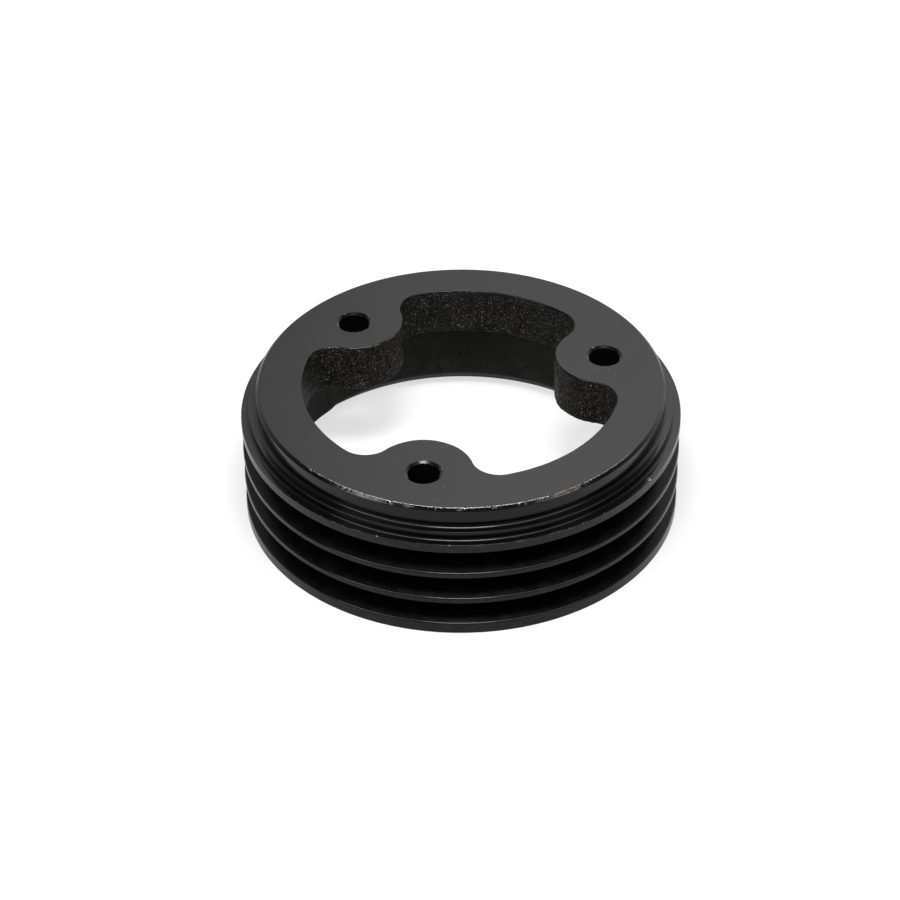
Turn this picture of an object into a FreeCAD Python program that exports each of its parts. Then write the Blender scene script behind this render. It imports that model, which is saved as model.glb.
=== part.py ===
"""Three-groove V-belt pulley ring, turned from one iron casting.

Frame: millimetres, +Z up along the axis of rotation.  The origin is the centre
of the lower rim face.  One of the three bolting ears points along +X.
"""
import FreeCAD, Part

import math
import os

# Driving dimensions
RIM_R = 106.0              # outside radius of the four belt rims
HEIGHT = 67.0              # lower rim face to spigot face
EDGE_BREAK = 0.4           # chamfer on every turned outside edge
CORNER_R = 0.5             # tool radius left in the turned inside corners

# V grooves, for 13 mm classical or narrow belts
GROOVE_COUNT = 3
GROOVE_PITCH = 15.0
FIRST_GROOVE_Z = 11.8      # middle of the lowest groove
GROOVE_WIDTH = 12.5        # across the groove at the rim radius
GROOVE_DEPTH = 13.0
GROOVE_HALF_ANGLE = 19.0   # degrees, half of a 38 degree groove
GROOVE_ROOT_R = 0.8

# Stepped register above the grooves
SHOULDER_Z = 52.4          # top of the uppermost belt rim
STEP_R = 102.1
STEP_Z = 56.9
SPIGOT_R = 98.3
SPIGOT_CHAMFER = 1.4

# Recess in the lower face, which goes over the hub
RECESS_R = 88.7
MOUTH_CHAMFER = 8.0
SEAT_Z = 42.4              # underside of the flange, which sits on the hub
CAST_CORNER_R = 4.0

# Three bolting ears round the cast opening of the flange
EAR_COUNT = 3
BOLT_CIRCLE_R = 72.75
EAR_R = 24.0               # ear nose, concentric with its bolt hole
EAR_ROOT_R = 13.0          # hollow between an ear and the pockets beside it
POCKET_R = 76.2            # cast wall between two ears
HOLE_R = 7.5
HOLE_CHAMFER = 1.0

CUT_MARGIN = 2.0           # how far each cutter runs past the face it opens
AXIS = FreeCAD.Vector(0, 0, 1)


def polar(radius, angle, z=0.0):
    """Point at a radius and an angle in degrees about the Z axis."""
    turn = math.radians(angle)
    return FreeCAD.Vector(radius * math.cos(turn), radius * math.sin(turn), z)


def rounded_section(corners):
    """Closed face in the XZ plane through (radius, z, rounding) corners."""
    places = [FreeCAD.Vector(radius, 0, z) for radius, z, rounding in corners]
    arcs = []
    for index, here in enumerate(places):
        rounding = corners[index][2]
        to_last = (places[index - 1] - here).normalize()
        to_next = (places[(index + 1) % len(corners)] - here).normalize()
        half_angle = to_last.getAngle(to_next) / 2
        bisector = (to_last + to_next).normalize()
        first = here + to_last * (rounding / math.tan(half_angle))
        middle = here + bisector * (rounding / math.sin(half_angle) - rounding)
        last = here + to_next * (rounding / math.tan(half_angle))
        arcs.append((first, middle, last))
    edges = []
    for index, (first, middle, last) in enumerate(arcs):
        edges.append(Part.LineSegment(arcs[index - 1][2], first).toShape())
        if corners[index][2] > 0:
            edges.append(Part.Arc(first, middle, last).toShape())
    return Part.Face(Part.Wire(edges))


def turned(corners):
    """Solid of revolution about Z of a section given by its corners."""
    return rounded_section(corners).revolve(FreeCAD.Vector(), AXIS, 360)


def groove_corners(middle_z):
    """Section corners of one V groove, from its lower lip to its upper lip."""
    slope = math.tan(math.radians(GROOVE_HALF_ANGLE))
    lip = GROOVE_WIDTH / 2
    chamfer_in = lip - EDGE_BREAK * slope
    root = lip - GROOVE_DEPTH * slope
    root_r = RIM_R - GROOVE_DEPTH
    return [
        (RIM_R, middle_z - lip - EDGE_BREAK, 0.0),
        (RIM_R - EDGE_BREAK, middle_z - chamfer_in, 0.0),
        (root_r, middle_z - root, GROOVE_ROOT_R),
        (root_r, middle_z + root, GROOVE_ROOT_R),
        (RIM_R - EDGE_BREAK, middle_z + chamfer_in, 0.0),
        (RIM_R, middle_z + lip + EDGE_BREAK, 0.0),
    ]


def blank():
    """Outside of the ring: belt rims, grooves, step and spigot, not yet bored."""
    corners = [
        (0.0, 0.0, 0.0),
        (RIM_R - EDGE_BREAK, 0.0, 0.0),
        (RIM_R, EDGE_BREAK, 0.0),
    ]
    for index in range(GROOVE_COUNT):
        corners += groove_corners(FIRST_GROOVE_Z + index * GROOVE_PITCH)
    corners += [
        (RIM_R, SHOULDER_Z - EDGE_BREAK, 0.0),
        (RIM_R - EDGE_BREAK, SHOULDER_Z, 0.0),
        (STEP_R, SHOULDER_Z, CORNER_R),
        (STEP_R, STEP_Z - EDGE_BREAK, 0.0),
        (STEP_R - EDGE_BREAK, STEP_Z, 0.0),
        (SPIGOT_R, STEP_Z, CORNER_R),
        (SPIGOT_R, HEIGHT - SPIGOT_CHAMFER, 0.0),
        (SPIGOT_R - SPIGOT_CHAMFER, HEIGHT, 0.0),
        (0.0, HEIGHT, 0.0),
    ]
    return turned(corners)


def recess():
    """Cutter for the round recess under the flange, with its chamfered mouth."""
    return turned([
        (0.0, -CUT_MARGIN, 0.0),
        (RECESS_R + MOUTH_CHAMFER + CUT_MARGIN, -CUT_MARGIN, 0.0),
        (RECESS_R, MOUTH_CHAMFER, 0.0),
        (RECESS_R, SEAT_Z, CAST_CORNER_R),
        (0.0, SEAT_Z, 0.0),
    ])


def root_angle():
    """Angle between an ear and the centre of its root arc, seen from the axis.

    The root arc touches the ear nose on one side and the pocket wall on the other,
    so its centre is a known distance from the axis and from the bolt hole.
    """
    to_axis = POCKET_R - EAR_ROOT_R
    to_nose = EAR_R + EAR_ROOT_R
    across = to_axis ** 2 + BOLT_CIRCLE_R ** 2 - to_nose ** 2
    return math.degrees(math.acos(across / (2 * to_axis * BOLT_CIRCLE_R)))


def ear_root(ear_angle, side):
    """Three points of the root arc, nose to pocket wall, on one side (+1 or -1)."""
    angle = ear_angle + side * root_angle()
    centre = polar(POCKET_R - EAR_ROOT_R, angle)
    nose = polar(BOLT_CIRCLE_R, ear_angle)
    on_nose = nose + (centre - nose).normalize() * EAR_R
    on_wall = polar(POCKET_R, angle)
    chord = (on_nose + on_wall) * 0.5 - centre
    middle = centre + chord.normalize() * EAR_ROOT_R
    return on_nose, middle, on_wall


def opening():
    """Cutter for the cast opening: three ears with round noses, three pockets."""
    edges = []
    spacing = 360 / EAR_COUNT
    for index in range(EAR_COUNT):
        angle = index * spacing
        before = ear_root(angle, -1)
        after = ear_root(angle, 1)
        following = ear_root(angle + spacing, -1)
        tip = polar(BOLT_CIRCLE_R - EAR_R, angle)
        pocket = polar(POCKET_R, angle + spacing / 2)
        edges.append(Part.Arc(before[2], before[1], before[0]).toShape())
        edges.append(Part.Arc(before[0], tip, after[0]).toShape())
        edges.append(Part.Arc(after[0], after[1], after[2]).toShape())
        edges.append(Part.Arc(after[2], pocket, following[2]).toShape())
    outline = Part.Face(Part.Wire(edges))
    outline.translate(AXIS * (SEAT_Z - CUT_MARGIN))
    return outline.extrude(AXIS * (HEIGHT - SEAT_Z + 2 * CUT_MARGIN))


def bolt_hole(angle):
    """Cutter for one through hole with a chamfered top edge."""
    bottom = polar(BOLT_CIRCLE_R, angle, SEAT_Z - CUT_MARGIN)
    shank = Part.makeCylinder(HOLE_R, HEIGHT - SEAT_Z + 2 * CUT_MARGIN, bottom, AXIS)
    mouth = polar(BOLT_CIRCLE_R, angle, HEIGHT - HOLE_CHAMFER)
    height = HOLE_CHAMFER + CUT_MARGIN
    countersink = Part.makeCone(HOLE_R, HOLE_R + height, height, mouth, AXIS)
    return shank.fuse(countersink)


def pulley_ring():
    """The whole casting after turning, boring and drilling."""
    ring = blank().cut(recess()).cut(opening())
    for index in range(EAR_COUNT):
        ring = ring.cut(bolt_hole(index * 360 / EAR_COUNT))
    return ring.removeSplitter()


def save(node, shape):
    """Write one node as a STEP file, after checking that it is one sound solid."""
    if not shape.isValid() or len(shape.Solids) != 1:
        raise ValueError(node + " is not one valid solid")
    shape.Solids[0].exportStep(os.path.join("parts", node + ".step"))
    print(node, "volume", round(shape.Volume), "mm3")


os.makedirs("parts", exist_ok=True)
save("pulley_ring", pulley_ring())
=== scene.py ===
"""Looks of a three-groove V-belt pulley ring: one turned, black-painted iron casting.

Lengths are in millimetres until a mesh, light or camera is made, where MM turns them into
metres.  Angles are in degrees about +Z, from +X, which points through the first bolting ear.
"""
import math

import bpy
import numpy as np
from mathutils import Matrix, Vector, geometry, noise


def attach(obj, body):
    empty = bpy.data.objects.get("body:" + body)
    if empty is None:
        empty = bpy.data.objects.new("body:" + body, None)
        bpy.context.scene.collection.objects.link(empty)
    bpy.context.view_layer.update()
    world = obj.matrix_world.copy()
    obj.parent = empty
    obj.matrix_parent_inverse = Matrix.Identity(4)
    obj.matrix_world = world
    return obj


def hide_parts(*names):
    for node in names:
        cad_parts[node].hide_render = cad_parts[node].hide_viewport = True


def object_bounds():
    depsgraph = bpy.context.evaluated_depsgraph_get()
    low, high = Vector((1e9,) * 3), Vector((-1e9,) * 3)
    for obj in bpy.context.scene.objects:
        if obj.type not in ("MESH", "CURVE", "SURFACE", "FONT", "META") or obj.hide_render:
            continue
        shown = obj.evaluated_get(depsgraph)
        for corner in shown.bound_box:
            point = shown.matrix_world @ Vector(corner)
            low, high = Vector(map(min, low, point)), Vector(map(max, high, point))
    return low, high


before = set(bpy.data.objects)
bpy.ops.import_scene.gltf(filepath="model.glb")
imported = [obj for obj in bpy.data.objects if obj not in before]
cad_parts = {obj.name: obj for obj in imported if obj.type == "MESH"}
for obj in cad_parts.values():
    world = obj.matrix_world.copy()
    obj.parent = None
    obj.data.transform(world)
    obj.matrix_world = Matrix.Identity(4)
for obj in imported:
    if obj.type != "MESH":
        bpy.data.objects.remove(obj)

cad_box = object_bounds()

MM = 0.001

# Outside of the ring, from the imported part
RIM_R = (cad_box[1].x - cad_box[0].x) / 2 / MM
HEIGHT = cad_box[1].z / MM
EDGE_R = 0.16              # rounding of the turned outside edges
CHAMFER_EDGE_R = 0.3       # rounding of the spigot chamfer's two edges
LIP_R = 0.85               # rounding of the lips between the grooves, which belts rub
SPIGOT_FILLET_R = 1.3      # tool radii in the turned inside corners
STEP_FILLET_R = 1.0
ROOT_R = 0.8

# V grooves
GROOVE_COUNT = 3
GROOVE_PITCH = 15.0
FIRST_GROOVE_Z = 11.8
GROOVE_WIDTH = 12.5
GROOVE_DEPTH = 13.0
GROOVE_HALF_ANGLE = 19.0

# Stepped register above the grooves
SHOULDER_Z = 52.4
STEP_R = 102.1
STEP_Z = 56.9
SPIGOT_R = 98.3
SPIGOT_CHAMFER = 1.4
CHAMFER_TOP_R = SPIGOT_R - SPIGOT_CHAMFER

# Recess under the flange
RECESS_R = 88.7
MOUTH_CHAMFER = 8.0
SEAT_Z = 42.4
CAST_CORNER_R = 4.0
RECESS_ROW = 1.8           # height of one row of faces on the recess wall
RECESS_SWELL = 0.12        # how far the cast recess wall wanders in and out
RECESS_SWELL_SIZE = 9.0
RECESS_SWELL_FROM = 2.0    # height where the swell is at its full depth
ROUND_UNDER_SEAT = 0.5     # band under the seat that stays round
PAD_DEPTH = 1.3            # raised pad on the recess wall, under the second ear
PAD_FROM = 118.0
PAD_TO = 168.0
PAD_EDGE = 5.0             # angle over which the pad rises

# Cast opening of the flange, which its core left a little off the turned axis
EAR_COUNT = 3
BOLT_CIRCLE_R = 72.75
NOSE_CIRCLE_R = 72.98
EAR_R = 24.0
EAR_ROOT_R = 12.9
POCKET_R = 76.2
EAR_DRIFT = (0.0, -0.4, -0.3)  # how far each ear is turned from its true place
CORE_SHIFT = 1.15
CORE_SHIFT_TO = 78.0       # direction of the shift
CAST_STEP = 0.68           # size of one face on the rough cast wall
CAST_WAVE = 0.10           # depth of its slow waves, which run straight up the wall
CAST_WAVE_SIZE = 9.0
CAST_LUMP = 0.20           # depth of its lumps
CAST_LUMP_SIZE = 3.4
CAST_GRAIN = 0.20          # depth of its sand grain
CAST_GRAIN_SIZE = 1.25
CAST_GRAIN_SHIFT = 40.0    # takes the grain from another part of the noise than the lumps
CAST_EDGE = 0.60           # rounding where the cast wall meets the turned faces
CAST_CALM = (0.7 * CAST_EDGE, CAST_EDGE + 1.2)  # below the face, where the roughness fades in

# Bolt holes
HOLE_R = 7.5
HOLE_CHAMFER = 0.75        # depth, left by a 118 degree drill point
HOLE_MOUTH = 1.25          # how far the chamfer reaches out at the spigot face
HOLE_EDGE_R = 0.25         # rounding of the chamfer's two edges
HOLE_SEAT_BREAK = 0.3      # edge break at the seat
HOLE_LAND = 0.6            # band of faces kept round the mouth
HOLE_WEAR_SIZE = 1.3       # size of the rubbed places in the mouth
HOLE_WEAR_FROM = HEIGHT - 0.9 * HOLE_CHAMFER
HOLE_WEAR_TO = HEIGHT - 0.02

# Faces round the ring, and the bands of faces kept beside the chipped edges
COARSE = 384
FINE = 3 * COARSE          # along a chipped edge
HOLE_AROUND = 72           # round a bolt hole
ARC_STEPS = 4              # faces across one rounded edge
CHAMFER_ROWS = (0.34, 0.67)  # how far down the spigot's chamfer it has rows of its own
FACE_BAND = 1.0            # on the spigot face and on the seat
SPIGOT_BAND = 1.2          # below the spigot's chamfer
RIM_BAND = 1.5             # on the ledge and below the upper rim's edge

# Wear on the front of the ring: its middle, and its reach to both sides
WORN_MIDDLE = -103.0
WORN_REACH = 54.0
WORN_FADE = 0.14           # as a difference of cosines
CHIP_MIDDLE = -111.0
CHIP_REACH = 60.0
CHIP_FADE = 14.0
TEAR_MIDDLE = -50.0        # torn place on the upper rim's edge
TEAR_REACH = 3.4
TEAR_FADE = 1.5

# Chips: depth, size, and the noise where a chip starts and where it is at full depth
CHIP_DEPTH = 0.26
SPIGOT_CHIPS = np.array((CHIP_DEPTH, 1.7, 0.20, 0.70))
RIM_CHIPS = np.array((0.8 * CHIP_DEPTH, 2.3, 0.42, 0.80))
RIM_TEAR = np.array((1.4 * CHIP_DEPTH, 1.3, 0.0, 0.40))
CHIP_LEAN = 0.7            # share of its depth by which a chip goes inwards, and downwards
CHIP_OUT = (0.1, 0.9 * SPIGOT_CHAMFER)  # below the spigot face, where its chips fade out
CHIP_IN = (CHAMFER_TOP_R - 0.6, CHAMFER_TOP_R - 0.1)  # radii where they fade in on the face

# Scuffed places: angle, radius, height, half length, half height
CHAMFER_MIDDLE = (SPIGOT_R - SPIGOT_CHAMFER / 2, HEIGHT - SPIGOT_CHAMFER / 2)
TOP_LIP = FIRST_GROOVE_Z + 2 * GROOVE_PITCH - GROOVE_WIDTH / 2
EAR_EDGE = HEIGHT - 0.33
RUSTY_SCUFFS = (
    (-77.0, *CHAMFER_MIDDLE, 11.0, 0.9),
    (-121.0, *CHAMFER_MIDDLE, 3.2, 0.8),
)
PALE_SCUFFS_AND_HIGHLIGHT = (
    (-132.5, *CHAMFER_MIDDLE, 9.0, 0.8),
    (-119.4, *CHAMFER_MIDDLE, 0.8, 0.5),
    (-106.5, *CHAMFER_MIDDLE, 1.4, 0.5),
    (-97.5, *CHAMFER_MIDDLE, 1.8, 0.5),
    # On the second ear's nose edge: paint rubbed pale, brightened into a painted highlight line
    (118.0, 50.0, EAR_EDGE, 6.5, 0.30),
    (129.0, 53.5, EAR_EDGE, 8.0, 0.36),
    (134.0, 60.5, EAR_EDGE, 6.0, 0.32),
    (138.5, 69.5, EAR_EDGE, 6.0, 0.32),
)
FAINT_SCUFFS = (
    (-98.0, RIM_R, SHOULDER_Z, 66.0, 0.30),
    (-139.8, RIM_R, SHOULDER_Z, 1.6, 0.5),
    (-131.9, RIM_R, SHOULDER_Z - 0.2, 5.5, 0.5),
    (-115.5, RIM_R, SHOULDER_Z, 1.5, 0.5),
    (-111.6, RIM_R, SHOULDER_Z, 1.2, 0.4),
    (-102.2, RIM_R, SHOULDER_Z - 0.7, 3.0, 0.8),
    (-92.4, RIM_R, SHOULDER_Z - 0.6, 4.5, 0.6),
    (-86.9, RIM_R, SHOULDER_Z, 1.5, 0.5),
    (-79.4, RIM_R, SHOULDER_Z - 0.3, 6.5, 0.6),
    (-68.1, RIM_R, SHOULDER_Z, 1.0, 0.5),
    (-47.0, RIM_R, SHOULDER_Z - 0.5, 5.0, 0.9),
    (-159.0, RIM_R, TOP_LIP, 1.2, 0.5),
)

PAINT, CAST, RECESS, GROOVE = range(4)


# ---------------------------------------------------------------- shape

def unit(direction):
    """The direction as a vector of length one."""
    return direction / np.linalg.norm(direction)


def smooth(value, start, end):
    """Eases from 0 at start to 1 at end."""
    share = np.clip((value - start) / (end - start), 0.0, 1.0)
    return share * share * (3 - 2 * share)


def turns(degrees):
    """An angle brought into -180 to 180 degrees."""
    return (degrees + 180.0) % 360.0 - 180.0


def lumps(place, size, octaves):
    """Smooth roughness at a place, about -1 to 1, in lumps of a given size."""
    return noise.fractal(Vector(place) / size, 0.6, 2.0, octaves)


def rounded(corners):
    """Profile rows (radius, height, faces round it) through corners, each with its arc."""
    rows = []
    for index, (radius, height, rounding, around) in enumerate(corners):
        if rounding == 0:
            rows.append((radius, height, around))
            continue
        here = np.array((radius, height))
        to_last = unit(np.array(corners[index - 1][:2]) - here)
        to_next = unit(np.array(corners[index + 1][:2]) - here)
        half_angle = math.acos(np.dot(to_last, to_next)) / 2
        centre = here + unit(to_last + to_next) * rounding / math.sin(half_angle)
        reach = rounding / math.tan(half_angle)
        first = here + to_last * reach - centre
        last = here + to_next * reach - centre
        sweep = math.pi - 2 * half_angle
        for step in range(ARC_STEPS + 1):
            turn = sweep * step / ARC_STEPS
            arm = (math.sin(sweep - turn) * first + math.sin(turn) * last) / math.sin(sweep)
            rows.append((*(centre + arm), around))
    return rows


def groove_corners(middle_z):
    """Profile corners of one V groove, from its upper lip to its lower lip."""
    slope = math.tan(math.radians(GROOVE_HALF_ANGLE))
    lip = GROOVE_WIDTH / 2
    root = lip - GROOVE_DEPTH * slope
    root_r = RIM_R - GROOVE_DEPTH
    return [
        (RIM_R, middle_z + lip, EDGE_R, COARSE),
        (root_r, middle_z + root, ROOT_R, COARSE),
        (root_r, middle_z - root, ROOT_R, COARSE),
        (RIM_R, middle_z - lip, LIP_R, COARSE),
    ]


def turned_corners():
    """Profile corners from the spigot face down the outside and up into the recess."""
    corners = [
        (CHAMFER_TOP_R - FACE_BAND, HEIGHT, 0, FINE),
        (CHAMFER_TOP_R, HEIGHT, CHAMFER_EDGE_R, FINE),
    ]
    for share in CHAMFER_ROWS:
        down = SPIGOT_CHAMFER * share
        corners.append((CHAMFER_TOP_R + down, HEIGHT - down, 0, FINE))
    corners += [
        (SPIGOT_R, HEIGHT - SPIGOT_CHAMFER, CHAMFER_EDGE_R, FINE),
        (SPIGOT_R, HEIGHT - SPIGOT_CHAMFER - SPIGOT_BAND, 0, COARSE),
        (SPIGOT_R, STEP_Z, SPIGOT_FILLET_R, COARSE),
        (STEP_R, STEP_Z, EDGE_R, COARSE),
        (STEP_R, SHOULDER_Z, STEP_FILLET_R, COARSE),
        (RIM_R - RIM_BAND, SHOULDER_Z, 0, COARSE),
        (RIM_R, SHOULDER_Z, EDGE_R, FINE),
        (RIM_R, SHOULDER_Z - RIM_BAND, 0, COARSE),
    ]
    for index in reversed(range(GROOVE_COUNT)):
        corners += groove_corners(FIRST_GROOVE_Z + index * GROOVE_PITCH)
    corners += [
        (RIM_R, 0.0, EDGE_R, COARSE),
        (RECESS_R + MOUTH_CHAMFER, 0.0, EDGE_R, COARSE),
        (RECESS_R, MOUTH_CHAMFER, CAST_CORNER_R, COARSE),
    ]
    wall_from = MOUTH_CHAMFER + CAST_CORNER_R
    wall_to = SEAT_Z - CAST_CORNER_R - RECESS_ROW
    for height in np.arange(wall_from, wall_to, RECESS_ROW):
        corners.append((RECESS_R, height, 0, COARSE))
    corners += [
        (RECESS_R, SEAT_Z, CAST_CORNER_R, COARSE),
        (RECESS_R - CAST_CORNER_R - FACE_BAND, SEAT_Z, 0, COARSE),
    ]
    return corners


def spread(angle, middle, reach, fade):
    """1 within reach of the middle angle on both sides, easing to 0 over the last degrees."""
    return smooth(reach - abs(turns(angle - middle)), 0, fade)


def chip(angle, radius, height):
    """Depth of the chips in the upper rim's edge, or else in the spigot's upper edge."""
    turn = math.radians(angle)
    place = (radius * math.cos(turn), radius * math.sin(turn), height)
    if height < STEP_Z:
        torn = spread(angle, TEAR_MIDDLE, TEAR_REACH, TEAR_FADE)
        depth, size, start, full = RIM_CHIPS + torn * (RIM_TEAR - RIM_CHIPS)
    else:
        depth, size, start, full = SPIGOT_CHIPS
        depth *= 1 - smooth(HEIGHT - height, *CHIP_OUT)
        depth *= smooth(radius, *CHIP_IN)
        depth *= spread(angle, CHIP_MIDDLE, CHIP_REACH, CHIP_FADE)
    return depth * smooth(lumps(place, size, 3), start, full)


def recess_swell(angle, height):
    """How far the cast recess wall stands in from its round shape."""
    turn = math.radians(angle)
    along = (RECESS_R * math.cos(turn), RECESS_R * math.sin(turn), height)
    swell = RECESS_SWELL * lumps(along, RECESS_SWELL_SIZE, 4)
    pad = smooth(angle, PAD_FROM, PAD_FROM + PAD_EDGE) - smooth(angle, PAD_TO - PAD_EDGE, PAD_TO)
    return (swell + PAD_DEPTH * pad) * smooth(height, 0.0, RECESS_SWELL_FROM)


def in_recess(radius, height):
    """Whether a profile point lies on the recess, and not in a groove or on the rim face."""
    wall = RECESS_R + max(MOUTH_CHAMFER - height, 0.0)
    halfway = (RIM_R - GROOVE_DEPTH - RECESS_R) / 2
    return EDGE_R < height and radius < wall + halfway


def turned_slot(one, two):
    """Which surface the faces between two neighbouring profile rows belong to."""
    if in_recess(two[0], two[1]):
        return RECESS
    if EDGE_R < two[1] < SHOULDER_Z - RIM_BAND and min(one[0], two[0]) < RIM_R - LIP_R:
        return GROOVE
    return PAINT


def turned_ring(row):
    """Points round one profile row, chipped or cast as that row is, and how worn each is."""
    radius, height, around = row
    cast = height < SEAT_Z - ROUND_UNDER_SEAT and in_recess(radius, height)
    points = []
    worn = []
    for step in range(around):
        angle = turns(360.0 * step / around)
        turn = math.radians(angle)
        out = radius
        up = height
        depth = 0.0
        if cast:
            out -= recess_swell(angle, height)
        elif around == FINE:
            depth = chip(angle, radius, height)
            out -= depth * CHIP_LEAN
            up -= depth * CHIP_LEAN
        points.append((out * math.cos(turn), out * math.sin(turn), up))
        worn.append(depth / CHIP_DEPTH)
    return points, worn


def arc(centre, radius, start, end):
    """Points of an arc, about one cast face apart, without its last point."""
    steps = max(2, round(abs(end - start) * radius / CAST_STEP))
    angles = start + (end - start) * np.arange(steps) / steps
    return centre + radius * np.column_stack((np.cos(angles), np.sin(angles)))


def towards(angle):
    """Unit vector at an angle in radians."""
    return np.array((math.cos(angle), math.sin(angle)))


def opening_outline():
    """Closed outline of the cast opening, anticlockwise, ear by ear.

    Each root arc touches its ear's nose and the pocket wall, so its centre is a known
    distance from the axis and from the nose's centre.
    """
    to_axis = POCKET_R - EAR_ROOT_R
    to_nose = EAR_R + EAR_ROOT_R
    across = to_axis ** 2 + NOSE_CIRCLE_R ** 2 - to_nose ** 2
    root_angle = math.acos(across / (2 * to_axis * NOSE_CIRCLE_R))
    across = to_nose ** 2 + NOSE_CIRCLE_R ** 2 - to_axis ** 2
    nose_half = math.acos(across / (2 * to_nose * NOSE_CIRCLE_R))
    ears = [math.radians(360 / EAR_COUNT * index + EAR_DRIFT[index]) for index in range(EAR_COUNT)]
    pieces = []
    for index, ear in enumerate(ears):
        following = ears[(index + 1) % EAR_COUNT] + math.tau * (index + 1 == EAR_COUNT)
        nose = NOSE_CIRCLE_R * towards(ear)
        before = to_axis * towards(ear - root_angle)
        after = to_axis * towards(ear + root_angle)
        tip = ear + math.pi
        pieces.append(arc(before, EAR_ROOT_R, ear - root_angle, ear + nose_half))
        pieces.append(arc(nose, EAR_R, tip + nose_half, tip - nose_half))
        pieces.append(arc(after, EAR_ROOT_R, ear - nose_half, ear + root_angle))
        pieces.append(arc(np.zeros(2), POCKET_R, ear + root_angle, following - root_angle))
    shift = CORE_SHIFT * towards(math.radians(CORE_SHIFT_TO))
    return np.concatenate(pieces) + shift


def cast_rings():
    """Rings of points up the rough wall of the opening, from the seat to the spigot face."""
    outline = opening_outline()
    along = np.roll(outline, -1, axis=0) - np.roll(outline, 1, axis=0)
    along /= np.linalg.norm(along, axis=1)[:, None]
    into_iron = np.column_stack((along[:, 1], -along[:, 0]))
    rows = round((HEIGHT - SEAT_Z - 2 * CAST_EDGE) / CAST_STEP)
    heights = np.linspace(SEAT_Z + CAST_EDGE, HEIGHT - CAST_EDGE, rows + 1)
    levels = [(SEAT_Z, CAST_EDGE)]
    levels += [(height, 0.0) for height in heights]
    for step in range(1, ARC_STEPS + 1):
        turn = math.pi / 2 * step / ARC_STEPS
        levels.append((HEIGHT - CAST_EDGE * (1 - math.sin(turn)), CAST_EDGE * (1 - math.cos(turn))))
    rings = []
    for height, broken in levels:
        rough = smooth(HEIGHT - height, *CAST_CALM)
        ring = []
        for (x, y), (step_x, step_y) in zip(outline, into_iron):
            wave = CAST_WAVE * lumps((x, y, 0.0), CAST_WAVE_SIZE, 2)
            lump = CAST_LUMP * lumps((x, y, height), CAST_LUMP_SIZE, 3)
            grain = CAST_GRAIN * lumps((x + CAST_GRAIN_SHIFT, y, height), CAST_GRAIN_SIZE, 2)
            depth = broken + wave + rough * (lump + grain)
            ring.append((x + step_x * depth, y + step_y * depth, height))
        rings.append(ring)
    return rings


def hole_rings(angle):
    """Rings of points up one bolt hole, from the seat to its mouth, and how worn each is."""
    rows = rounded([
        (HOLE_R + HOLE_SEAT_BREAK, SEAT_Z, 0, HOLE_AROUND),
        (HOLE_R, SEAT_Z + HOLE_SEAT_BREAK, 0, HOLE_AROUND),
        (HOLE_R, HEIGHT - HOLE_CHAMFER, HOLE_EDGE_R, HOLE_AROUND),
        (HOLE_R + HOLE_MOUTH, HEIGHT, HOLE_EDGE_R, HOLE_AROUND),
        (HOLE_R + HOLE_MOUTH + HOLE_LAND, HEIGHT, 0, HOLE_AROUND),
    ])
    x, y = BOLT_CIRCLE_R * towards(math.radians(angle))
    turn = np.arange(HOLE_AROUND) * math.tau / HOLE_AROUND
    rings = []
    for radius, height, _ in rows:
        level = np.full(HOLE_AROUND, height)
        ring = np.column_stack((x + radius * np.cos(turn), y + radius * np.sin(turn), level)).tolist()
        on_chamfer = HOLE_WEAR_FROM < height < HOLE_WEAR_TO
        worn = [on_chamfer * (1 + lumps(place, HOLE_WEAR_SIZE, 2)) / 2 for place in ring]
        rings.append((ring, worn))
    return rings


def inside(places, outline):
    """For each place, whether it lies inside a closed outline."""
    x = places[:, :1]
    y = places[:, 1:2]
    start = outline
    end = np.roll(outline, -1, axis=0)
    rise = end[:, 1] - start[:, 1]
    slope = (end[:, 0] - start[:, 0]) / np.where(rise == 0, 1, rise)
    crossed = (start[:, 1] > y) != (end[:, 1] > y)
    left = x < start[:, 0] + (y - start[:, 1]) * slope
    return (crossed & left).sum(axis=1) % 2 == 1


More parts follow.
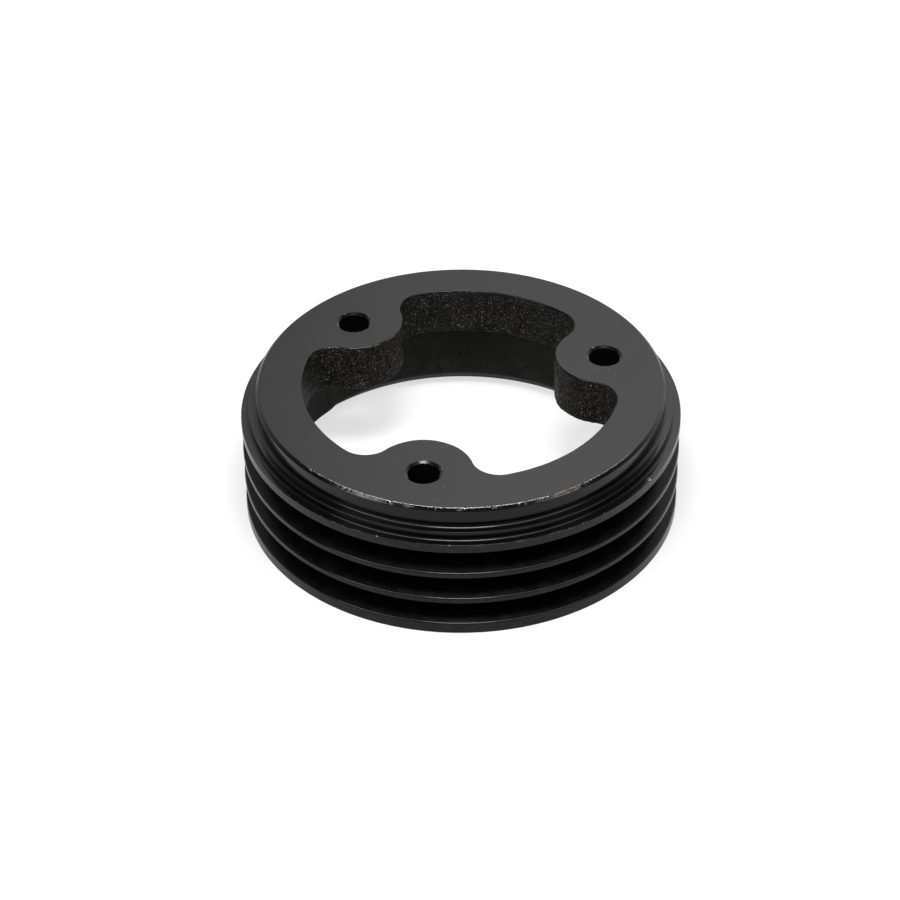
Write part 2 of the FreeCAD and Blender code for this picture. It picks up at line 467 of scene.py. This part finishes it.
class Shell:
    """One closed mesh, gathered ring by ring.  Every ring runs anticlockwise from above."""

    def __init__(self):
        self.points = []
        self.worn = []
        self.faces = []
        self.slots = []
        self.level = {}

    def ring(self, points, worn=None):
        """Adds a ring of points and returns their numbers."""
        first = len(self.points)
        self.points += points
        self.worn += worn or [0.0] * len(points)
        return list(range(first, len(self.points)))

    def join(self, one, two, slot):
        """Faces from ring one to ring two; either may have several times the other's points."""
        fewer = min(len(one), len(two))
        ones = len(one) // fewer
        twos = len(two) // fewer
        faces = []
        for index in range(fewer):
            a = [one[(index * ones + step) % len(one)] for step in range(ones + 1)]
            b = [two[(index * twos + step) % len(two)] for step in range(twos + 1)]
            if ones == twos:
                faces.append((a[0], b[0], b[1], a[1]))
                continue
            half_a = ones // 2
            half_b = twos // 2
            faces += [(a[step], b[0], a[step + 1]) for step in range(half_a)]
            faces += [(a[0], b[step], b[step + 1]) for step in range(half_b)]
            if ones > twos:
                faces.append((a[half_a], b[0], b[1]))
                faces += [(a[step], b[1], a[step + 1]) for step in range(half_a, ones)]
            else:
                faces.append((a[0], b[half_b], a[1]))
                faces += [(a[1], b[step], b[step + 1]) for step in range(half_b, twos)]
        self.faces += faces
        self.slots += [slot] * len(faces)

    def join_all(self, rings, slot):
        """Faces along a whole run of rings."""
        for one, two in zip(rings, rings[1:]):
            self.join(one, two, slot)

    def flat(self, outer, holes, up, slot):
        """Level face between an outer ring and the rings of its holes, facing up or down."""
        rings = [outer, *holes]
        numbers = [number for ring in rings for number in ring]
        places = np.array([self.points[number][:2] for number in numbers])
        edges = []
        first = 0
        for ring in rings:
            count = len(ring)
            edges += [(first + step, first + (step + 1) % count) for step in range(count)]
            first += count
        made = geometry.delaunay_2d_cdt([Vector(place) for place in places], edges, [], 0, 1e-5)
        source = [origins[0] for origins in made[3]]
        corners = np.array([[source[corner] for corner in face] for face in made[2]])
        centres = places[corners].mean(axis=1)
        kept = inside(centres, np.array([self.points[number][:2] for number in outer]))
        for hole in holes:
            kept &= ~inside(centres, np.array([self.points[number][:2] for number in hole]))
        a, b, c = (places[corners[:, corner]] for corner in range(3))
        area = (b[:, 0] - a[:, 0]) * (c[:, 1] - a[:, 1]) - (b[:, 1] - a[:, 1]) * (c[:, 0] - a[:, 0])
        for face, wanted, signed in zip(corners, kept, area):
            if not wanted or signed == 0:
                continue
            order = face if (signed > 0) == up else face[::-1]
            self.faces.append(tuple(numbers[corner] for corner in order))
            self.slots.append(slot)
        for number in numbers:
            self.level[number] = (0.0, 0.0, 1.0 if up else -1.0)

    def mesh(self, name):
        """The mesh, with normals weighted by area so that flat faces stay flat."""
        made = bpy.data.meshes.new(name)
        places = np.array(self.points) * MM
        made.from_pydata(places.tolist(), [], self.faces)
        made.polygons.foreach_set("material_index", self.slots)
        made.polygons.foreach_set("use_smooth", [True] * len(self.faces))
        worn = made.attributes.new("worn", "FLOAT", "POINT")
        worn.data.foreach_set("value", self.worn)
        made.update()
        normals = np.zeros((len(self.points), 3))
        for polygon in made.polygons:
            push = np.array(polygon.normal) * polygon.area
            normals[list(polygon.vertices)] += push
        for number, direction in self.level.items():
            normals[number] = direction
        normals /= np.linalg.norm(normals, axis=1)[:, None]
        made.normals_split_custom_set_from_vertices(normals.tolist())
        return made


def ring_shell():
    """The whole casting as one closed shell."""
    shell = Shell()
    rows = rounded(turned_corners())
    turned = [shell.ring(*turned_ring(row)) for row in rows]
    for index in range(len(rows) - 1):
        shell.join(turned[index], turned[index + 1], turned_slot(rows[index], rows[index + 1]))
    opening = [shell.ring(points) for points in cast_rings()]
    shell.join_all(opening[:-ARC_STEPS], CAST)
    shell.join_all(opening[-ARC_STEPS - 1:], PAINT)
    holes = []
    for index in range(EAR_COUNT):
        rings = [shell.ring(*ring) for ring in hole_rings(index * 360 / EAR_COUNT)]
        shell.join_all(rings, PAINT)
        holes.append(rings)
    shell.flat(turned[0], [opening[-1]] + [rings[-1] for rings in holes], True, PAINT)
    shell.flat(turned[-1], [opening[0]] + [rings[0] for rings in holes], False, RECESS)
    return shell


# ---------------------------------------------------------------- materials

def add(tree, kind, inputs=None, **settings):
    """A shader node, with its settings, and its inputs linked or set by name or number."""
    made = tree.nodes.new(kind)
    for name, value in settings.items():
        setattr(made, name, value)
    for name, value in (inputs or {}).items():
        if isinstance(value, bpy.types.NodeSocket):
            tree.links.new(value, made.inputs[name])
        else:
            made.inputs[name].default_value = value
    return made


def maths(tree, operation, one, two=0.0, three=0.0):
    """Output of one Math node."""
    return add(tree, "ShaderNodeMath", {0: one, 1: two, 2: three}, operation=operation).outputs[0]


def vector(tree, operation, one, two=(0.0, 0.0, 0.0)):
    """Output of one Vector Math node: a number for a length or dot product, else a vector."""
    made = add(tree, "ShaderNodeVectorMath", {0: one, 1: two}, operation=operation)
    return made.outputs["Value" if operation in ("LENGTH", "DOT_PRODUCT") else "Vector"]


def joined(tree, x, y, z=0.0):
    """Vector from its three parts."""
    return add(tree, "ShaderNodeCombineXYZ", {0: x, 1: y, 2: z}).outputs[0]


def split(tree, place):
    """The x, y and z of a place."""
    return add(tree, "ShaderNodeSeparateXYZ", {0: place}).outputs


def step_up(tree, value, start, end, low=0.0, high=1.0):
    """Eases from low to high while the value goes from start to end."""
    made = add(
        tree,
        "ShaderNodeMapRange",
        {"Value": value, "From Min": start, "From Max": end, "To Min": low, "To Max": high},
        interpolation_type="SMOOTHSTEP",
    )
    return made.outputs["Result"]


def blotches(tree, place, size_mm, detail=3.0, roughness=0.6):
    """Noise, 0 to 1, with lumps of about this size."""
    made = add(
        tree,
        "ShaderNodeTexNoise",
        {"Vector": place, "Scale": 1 / (size_mm * MM), "Detail": detail, "Roughness": roughness},
    )
    return made.outputs["Fac"]


def between(tree, share, one, two):
    """Colour between two others."""
    made = add(tree, "ShaderNodeMix", {0: share}, data_type="RGBA")
    for socket, value in (("A", one), ("B", two)):
        target = [item for item in made.inputs if item.name == socket and item.type == "RGBA"][0]
        if isinstance(value, bpy.types.NodeSocket):
            tree.links.new(value, target)
        else:
            target.default_value = (*value, 1.0)
    return [item for item in made.outputs if item.type == "RGBA"][0]


def start_material(name):
    """An empty node material with one shader, and its place on the object."""
    made = bpy.data.materials.new(name)
    made.use_nodes = True
    tree = made.node_tree
    tree.nodes.clear()
    shader = add(tree, "ShaderNodeBsdfPrincipled")
    add(tree, "ShaderNodeOutputMaterial", {"Surface": shader.outputs["BSDF"]})
    place = add(tree, "ShaderNodeTexCoord").outputs["Object"]
    return made, tree, shader, place


def from_axis(tree, place):
    """Distance from the ring's axis, in metres."""
    return vector(tree, "LENGTH", vector(tree, "MULTIPLY", place, (1.0, 1.0, 0.0)))


PAINT_IOR = 1.27           # of the paint that covers all of the iron


def finish_iron(tree, shader, colour, roughness, normal, specular=0.5):
    """Links what varies over one kind of surface to its shader, and sets what doesn't."""
    tree.links.new(colour, shader.inputs["Base Color"])
    tree.links.new(roughness, shader.inputs["Roughness"])
    tree.links.new(normal, shader.inputs["Normal"])
    shader.inputs["IOR"].default_value = PAINT_IOR
    shader.inputs["Specular IOR Level"].default_value = specular


def bumps(tree, layers):
    """Normal from several (height, depth in mm) layers, each added to the last."""
    normal = None
    for height, depth in layers:
        inputs = {"Height": height, "Distance": depth * MM, "Strength": 1.0}
        if normal is not None:
            inputs["Normal"] = normal
        normal = add(tree, "ShaderNodeBump", inputs).outputs["Normal"]
    return normal


def scuffed(tree, place, ragged, scuffs):
    """1 where any of the scuffed places is rubbed, with ragged borders."""
    most = None
    for angle, radius, height, half_length, half_height in scuffs:
        centre = Vector((*(radius * towards(math.radians(angle))), height)) * MM
        scale = Vector((1 / half_length, 1 / half_length, 1 / half_height)) / MM
        offset = vector(tree, "MULTIPLY", vector(tree, "SUBTRACT", place, centre), scale)
        near = step_up(tree, vector(tree, "LENGTH", offset), 1.0, 0.3)
        most = near if most is None else maths(tree, "MAXIMUM", most, near)
    return step_up(tree, maths(tree, "MULTIPLY", most, ragged), 0.12, 0.60)


PAINT_BLACK = (0.0011, 0.0012, 0.0013)
PAINT_DUSTY = (0.0024, 0.0024, 0.0025)
SPECK_PALE = (0.060, 0.066, 0.078)
RIM_DUST = (0.0056, 0.0054, 0.0044)
BARE_IRON = (0.20, 0.19, 0.17)
RUST_BROWN = (0.050, 0.037, 0.027)
# Pale scuffs, and the painted highlight line on the second ear's edge, share one colour
SCUFF_PALE_AND_HIGHLIGHT = (0.075, 0.067, 0.055)
SCUFF_FAINT = (0.025, 0.0232, 0.0190)

# Sizes of what varies over the paint, in millimetres
DUST_CLOUD_SIZE = 24.0
RIM_DUST_SIZE = 3.5
SPECK_SIZE = 1.5
FINE_DUST_SIZE = 0.9
LATHE_MARK_SIZE = 0.35
ORANGE_PEEL_SIZE = 0.7
LIP_NICK_SIZE = 1.2
WORN_LINE_SIZE = 2.4
WORN_LINE_WIDTHS = (0.06, 0.22)
STREAK_SIZE = 0.8
STREAK_STRETCH = 4.0       # how many times longer than high a streak is


def dusty_paint(tree, place, height, cloud, on_rim):
    """Colour of the paint: clouds of dust, specks on the spigot face, more dust on the rims."""
    paint = between(tree, step_up(tree, cloud, 0.35, 0.75), PAINT_BLACK, PAINT_DUSTY)
    speck = step_up(tree, blotches(tree, place, SPECK_SIZE, detail=1.0), 0.765, 0.83)
    on_face = maths(tree, "GREATER_THAN", height, (HEIGHT - 0.3) * MM)
    paint = between(tree, maths(tree, "MULTIPLY", speck, on_face), paint, SPECK_PALE)
    patchy = step_up(tree, blotches(tree, place, RIM_DUST_SIZE), 0.38, 0.68)
    return between(tree, maths(tree, "MULTIPLY", on_rim, patchy), paint, RIM_DUST)


def worn_line(tree, place, radius, height):
    """1 along a thin ragged line on the worn part of the spigot's upper edge."""
    out = maths(tree, "SUBTRACT", radius, CHAMFER_TOP_R * MM)
    up = maths(tree, "SUBTRACT", height, HEIGHT * MM)
    from_edge = vector(tree, "LENGTH", joined(tree, out, up))
    middle = (*towards(math.radians(WORN_MIDDLE)), 0.0)
    side = maths(tree, "DIVIDE", vector(tree, "DOT_PRODUCT", place, middle), radius)
    reach = math.cos(math.radians(WORN_REACH))
    worn_side = step_up(tree, side, reach, reach + WORN_FADE)
    ragged = blotches(tree, place, WORN_LINE_SIZE, detail=4.0, roughness=0.7)
    width = maths(tree, "MULTIPLY", step_up(tree, ragged, 0.36, 0.60, *WORN_LINE_WIDTHS), MM)
    return maths(tree, "MULTIPLY", worn_side, maths(tree, "LESS_THAN", from_edge, width))


def streaks(tree, place, radius):
    """Broken streaks that run round the ring, 0 to 1."""
    x, y, height = split(tree, place)
    angle = maths(tree, "ARCTAN2", y, x)
    along = maths(tree, "MULTIPLY", angle, RIM_R * MM / STREAK_STRETCH)
    return step_up(tree, blotches(tree, joined(tree, along, height, radius), STREAK_SIZE), 0.36, 0.62)


def painted_iron():
    """Satin black paint on turned iron, rubbed through along the upper edges, with one painted highlight
    line.
    """
    made, tree, shader, place = start_material("painted_iron")
    radius = from_axis(tree, place)
    height = split(tree, place)[2]
    cloud = blotches(tree, place, DUST_CLOUD_SIZE)
    fine = blotches(tree, place, FINE_DUST_SIZE)
    on_rim = step_up(tree, radius, (RIM_R - 0.15) * MM, (RIM_R - 0.02) * MM)

    # Wear to bare metal, where the mesh is chipped and along the edge
    chipped = add(tree, "ShaderNodeAttribute", attribute_name="worn").outputs["Fac"]
    line = worn_line(tree, place, radius, height)
    bare = maths(tree, "MAXIMUM", line, step_up(tree, chipped, 0.60, 0.75))
    colour = between(tree, bare, dusty_paint(tree, place, height, cloud, on_rim), BARE_IRON)

    # Scuffs, faint ones only on the rims and their edges, pale ones partly a painted highlight
    broken = streaks(tree, place, radius)
    rusty = scuffed(tree, place, broken, RUSTY_SCUFFS)
    pale = scuffed(tree, place, broken, PALE_SCUFFS_AND_HIGHLIGHT)
    near_rim = step_up(tree, radius, (RIM_R - 0.6) * MM, (RIM_R - 0.2) * MM)
    faint = maths(tree, "MULTIPLY", scuffed(tree, place, broken, FAINT_SCUFFS), near_rim)
    for share, scuff_colour in ((rusty, RUST_BROWN), (pale, SCUFF_PALE_AND_HIGHLIGHT), (faint, SCUFF_FAINT)):
        colour = between(tree, share, colour, scuff_colour)
    covered = maths(tree, "MAXIMUM", maths(tree, "MAXIMUM", rusty, pale), faint)
    metal = maths(tree, "MULTIPLY", bare, maths(tree, "SUBTRACT", 1.0, covered))
    tree.links.new(metal, shader.inputs["Metallic"])

    # Roughness: uneven paint, duller on the rims and where it is rubbed
    roughness = step_up(tree, cloud, 0.3, 0.8, low=0.12, high=0.17)
    rubbed = maths(tree, "MAXIMUM", bare, covered)
    for share, added in ((fine, 0.03), (on_rim, 0.12), (rubbed, 0.25)):
        roughness = maths(tree, "MULTIPLY_ADD", share, added, roughness)

    # Relief: lathe marks under the paint, its own skin, dust, and nicks in the rims' lips
    marks = blotches(tree, joined(tree, radius, height), LATHE_MARK_SIZE, detail=2.0)
    orange_peel = blotches(tree, place, ORANGE_PEEL_SIZE, detail=2.0)
    on_lips = step_up(tree, radius, (RIM_R - LIP_R) * MM, (RIM_R - LIP_R * 0.6) * MM)
    nicks = maths(tree, "MULTIPLY", blotches(tree, place, LIP_NICK_SIZE, detail=2.0), on_lips)
    normal = bumps(tree, [(marks, 0.003), (orange_peel, 0.004), (fine, 0.002), (nicks, 0.012)])
    finish_iron(tree, shader, colour, roughness, normal)
    return made


CAST_DARK = (0.0008, 0.0008, 0.0007)
CAST_GREY = (0.024, 0.0235, 0.0205)
CAST_WARM = (0.031, 0.029, 0.0175)
# Pale colour of the painted glints, specks that stand in for highlights on the grains
CAST_PAINTED_GLINT = (0.120, 0.118, 0.108)
SAND_SIZE = 0.52
SAND_PATCH_SIZE = 9.0
PAINTED_GLINT_SIZE = 0.7
CAST_BUMP_SIZE = 0.6
CAST_SWELL_SIZE = 2.6
WARM_FROM = 74.0           # distances from the axis between which the ears' noses turn browner
WARM_TO = 62.0


def cast_iron():
    """Rough sand-cast skin under thin black paint, dusty brown on its grains, with pale painted glints.
    """
    made, tree, shader, place = start_material("cast_iron")
    sand = blotches(tree, place, SAND_SIZE, detail=0.0)
    patch = blotches(tree, place, SAND_PATCH_SIZE, detail=2.0)
    on_nose = step_up(tree, from_axis(tree, place), WARM_FROM * MM, WARM_TO * MM)
    grain_colour = between(tree, on_nose, CAST_GREY, CAST_WARM)
    thick = step_up(tree, patch, 0.35, 0.60, low=0.45, high=1.0)
    share = maths(tree, "MULTIPLY", step_up(tree, sand, 0.53, 0.63), thick)
    colour = between(tree, share, CAST_DARK, grain_colour)
    # Painted glints: sparse pale specks that stand in for highlights on the grains
    painted_glint = step_up(tree, blotches(tree, place, PAINTED_GLINT_SIZE, detail=0.0), 0.70, 0.78)
    colour = between(tree, painted_glint, colour, CAST_PAINTED_GLINT)
    grain = blotches(tree, place, CAST_BUMP_SIZE, detail=1.0, roughness=0.5)
    lump = blotches(tree, place, CAST_SWELL_SIZE, detail=2.0)
    roughness = step_up(tree, grain, 0.35, 0.65, low=0.30, high=0.60)
    normal = bumps(tree, [(lump, 0.7), (grain, 0.6)])
    finish_iron(tree, shader, colour, roughness, normal, specular=0.14)
    return made


RECESS_DARK = (0.0044, 0.0043, 0.0039)
RECESS_PALE = (0.0120, 0.0115, 0.0104)
RECESS_PIT = (0.0009, 0.0009, 0.0008)
RECESS_CLOUD_SIZE = 11.0
RECESS_GRAIN_SIZE = 1.1
RECESS_PIT_SIZE = 3.2


def recess_iron():
    """Smoother cast skin of the recess, with a few pits."""
    made, tree, shader, place = start_material("recess_iron")
    cloud = blotches(tree, place, RECESS_CLOUD_SIZE)
    grain = blotches(tree, place, RECESS_GRAIN_SIZE)
    mixed = maths(tree, "MULTIPLY_ADD", grain, 0.45, maths(tree, "MULTIPLY", cloud, 0.55))
    colour = between(tree, step_up(tree, mixed, 0.38, 0.62), RECESS_DARK, RECESS_PALE)
    around_pits = step_up(tree, blotches(tree, place, RECESS_PIT_SIZE, detail=1.0), 0.27, 0.31)
    colour = between(tree, around_pits, RECESS_PIT, colour)
    roughness = step_up(tree, cloud, 0.3, 0.7, low=0.56, high=0.68)
    normal = bumps(tree, [(around_pits, 0.20), (grain, 0.14)])
    finish_iron(tree, shader, colour, roughness, normal, specular=0.20)
    return made


GROOVE_BLACK = (0.0010, 0.0010, 0.0011)
GROOVE_DUSTY = (0.0023, 0.0023, 0.0024)
GROOVE_CLOUD_SIZE = 7.0
GROOVE_GRAIN_SIZE = 0.8


def groove_iron():
    """Duller black paint on the flanks of the grooves, which belts rub."""
    made, tree, shader, place = start_material("groove_iron")
    cloud = blotches(tree, place, GROOVE_CLOUD_SIZE)
    grain = blotches(tree, place, GROOVE_GRAIN_SIZE, detail=2.0)
    colour = between(tree, step_up(tree, cloud, 0.4, 0.7), GROOVE_BLACK, GROOVE_DUSTY)
    roughness = step_up(tree, cloud, 0.3, 0.7, low=0.26, high=0.34)
    normal = bumps(tree, [(grain, 0.02)])
    finish_iron(tree, shader, colour, roughness, normal, specular=0.22)
    return made


# ---------------------------------------------------------------- pieces

def make_ring():
    """The ring casting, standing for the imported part."""
    mesh = ring_shell().mesh("ring_casting")
    for material in (painted_iron(), cast_iron(), recess_iron(), groove_iron()):
        mesh.materials.append(material)
    ring = bpy.data.objects.new("ring_casting", mesh)
    bpy.context.scene.collection.objects.link(ring)
    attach(ring, "root")
    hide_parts("pulley_ring")


FLOOR_HALF = 6.0           # metres
FLOOR_GAP = 0.0001         # metres
FLOOR_GREY = 0.24
FLOOR_GLOW = 0.68          # the floor glows, so that its shadows stay faint
PAINTED_SHADOW_DEPTH = 0.14         # painted contact shadow: glow taken away round the foot of the ring

# The painted shadow comes in between two distances from the axis, and goes out between two others
PAINTED_SHADOW_IN = ((RIM_R - 12) * MM, (RIM_R - 2) * MM)
PAINTED_SHADOW_OUT = ((RIM_R + 65) * MM, (RIM_R + 1) * MM)


def make_floor():
    """Plain pale floor just under the ring, with a painted contact shadow close round it."""
    mesh = bpy.data.meshes.new("floor")
    half = FLOOR_HALF
    level = -FLOOR_GAP
    corners = [(-half, -half, level), (half, -half, level), (half, half, level), (-half, half, level)]
    mesh.from_pydata(corners, [], [(0, 1, 2, 3)])
    made, tree, shader, place = start_material("pale_floor")
    radius = from_axis(tree, place)
    # Painted contact shadow: the floor's glow is lowered in a band round the foot of the ring
    near = step_up(tree, radius, *PAINTED_SHADOW_OUT)
    outside = step_up(tree, radius, *PAINTED_SHADOW_IN)
    painted_shadow = maths(tree, "MULTIPLY", near, outside)
    glow = maths(tree, "MULTIPLY_ADD", painted_shadow, -PAINTED_SHADOW_DEPTH, FLOOR_GLOW)
    tree.links.new(glow, shader.inputs["Emission Strength"])
    shader.inputs["Base Color"].default_value = (FLOOR_GREY, FLOOR_GREY, FLOOR_GREY, 1.0)
    shader.inputs["Roughness"].default_value = 0.9
    shader.inputs["Specular IOR Level"].default_value = 0.0
    shader.inputs["Emission Color"].default_value = (1.0, 1.0, 1.0, 1.0)
    mesh.materials.append(made)
    floor = bpy.data.objects.new("floor", mesh)
    bpy.context.scene.collection.objects.link(floor)


# ---------------------------------------------------------------- light and camera

AZIMUTH = -16.05           # the camera's right-hand side
ELEVATION = 37.51
ROLL = -0.493
SENSOR = 36.0
LENS = 104.36
ORIGIN_RIGHT = 5.57        # where the ring's origin lies, seen from the camera
ORIGIN_DOWN = 20.21
ORIGIN_AHEAD = 1292.2


def make_camera():
    """Camera above and in front of the ring, looking down at it."""
    turn = Matrix.Rotation(math.radians(AZIMUTH), 3, "Z")
    tilt = Matrix.Rotation(math.radians(90 - ELEVATION), 3, "X")
    roll = Matrix.Rotation(math.radians(ROLL), 3, "Z")
    rotation = turn @ tilt @ roll
    data = bpy.data.cameras.new("camera")
    data.lens = LENS
    data.sensor_width = SENSOR
    data.clip_start = 0.01
    data.clip_end = 50.0
    camera = bpy.data.objects.new("camera", data)
    origin = Vector((ORIGIN_RIGHT, -ORIGIN_DOWN, -ORIGIN_AHEAD)) * MM
    camera.matrix_world = Matrix.Translation(-(rotation @ origin)) @ rotation.to_4x4()
    bpy.context.scene.collection.objects.link(camera)
    bpy.context.scene.camera = camera


# Softboxes: degrees round from the camera, elevation, metres away, width, height, radiance
SOFTBOXES = {
    "overhead": (0, 73, 1.4, 0.45, 0.32, 38.0),
    "overhead_wide": (0, 73, 1.5, 1.3, 0.34, 12.0),
    "side_left": (-57, 44, 1.4, 0.45, 0.75, 7.6),
    "side_right": (57, 44, 1.4, 0.45, 0.75, 4.2),
}


def make_softbox(name, from_camera, elevation, distance, width, height, radiance):
    """Rectangular area light that faces the ring and isn't seen itself."""
    data = bpy.data.lights.new(name, "AREA")
    data.shape = "RECTANGLE"
    data.size = width
    data.size_y = height
    data.energy = radiance * math.pi * width * height
    light = bpy.data.objects.new(name, data)
    x, y = towards(math.radians(AZIMUTH - 90 + from_camera)) * math.cos(math.radians(elevation))
    away = Vector((x, y, math.sin(math.radians(elevation))))
    facing = away.to_track_quat("Z", "Y").to_matrix().to_4x4()
    light.matrix_world = Matrix.Translation(away * distance) @ facing
    light.visible_camera = False
    bpy.context.scene.collection.objects.link(light)


# Brightness of the surroundings, in front of the ring, behind it, and added in the panel
SKY_FRONT = 0.28
SKY_REAR = 1.6
SKY_PANEL = 4.4
SKY_LEFT_SHARE = 0.55      # what the left half keeps of that


def make_sky():
    """Dim surroundings, with a pale backdrop behind the ring and a bright panel above that.

    All directions are unit vectors, so a height is the sine of an elevation, and depth and
    aside are how far a direction points away from the camera and to its right.
    """
    world = bpy.data.worlds.new("studio")
    bpy.context.scene.world = world
    world.use_nodes = True
    tree = world.node_tree
    tree.nodes.clear()
    place = add(tree, "ShaderNodeTexCoord").outputs["Generated"]
    behind = (*towards(math.radians(AZIMUTH + 90)), 0.0)
    right = (*towards(math.radians(AZIMUTH)), 0.0)
    depth = vector(tree, "DOT_PRODUCT", place, behind)
    aside = vector(tree, "DOT_PRODUCT", place, right)
    height = split(tree, place)[2]
    below_top = step_up(tree, height, 0.80, 0.62)
    backdrop = maths(tree, "MULTIPLY", step_up(tree, depth, -0.05, 0.60), below_top)
    strength = maths(tree, "MULTIPLY_ADD", backdrop, SKY_REAR - SKY_FRONT, SKY_FRONT)
    band = maths(tree, "MULTIPLY", step_up(tree, height, 0.50, 0.80), step_up(tree, height, 0.78, 0.66))
    panel = maths(tree, "MULTIPLY", band, step_up(tree, depth, 0.45, 0.70))
    strength = maths(tree, "MULTIPLY_ADD", panel, SKY_PANEL, strength)
    kept = step_up(tree, aside, -0.12, 0.02, low=SKY_LEFT_SHARE, high=1.0)
    strength = maths(tree, "MULTIPLY", strength, kept)
    background = add(tree, "ShaderNodeBackground", {"Color": (1.0, 1.0, 1.0, 1.0), "Strength": strength})
    add(tree, "ShaderNodeOutputWorld", {"Surface": background.outputs[0]})


make_ring()
make_floor()
make_camera()
make_sky()
for name, values in SOFTBOXES.items():
    make_softbox(name, *values)
bpy.context.scene.view_settings.view_transform = "Standard"
bpy.context.scene.view_settings.look = "None"
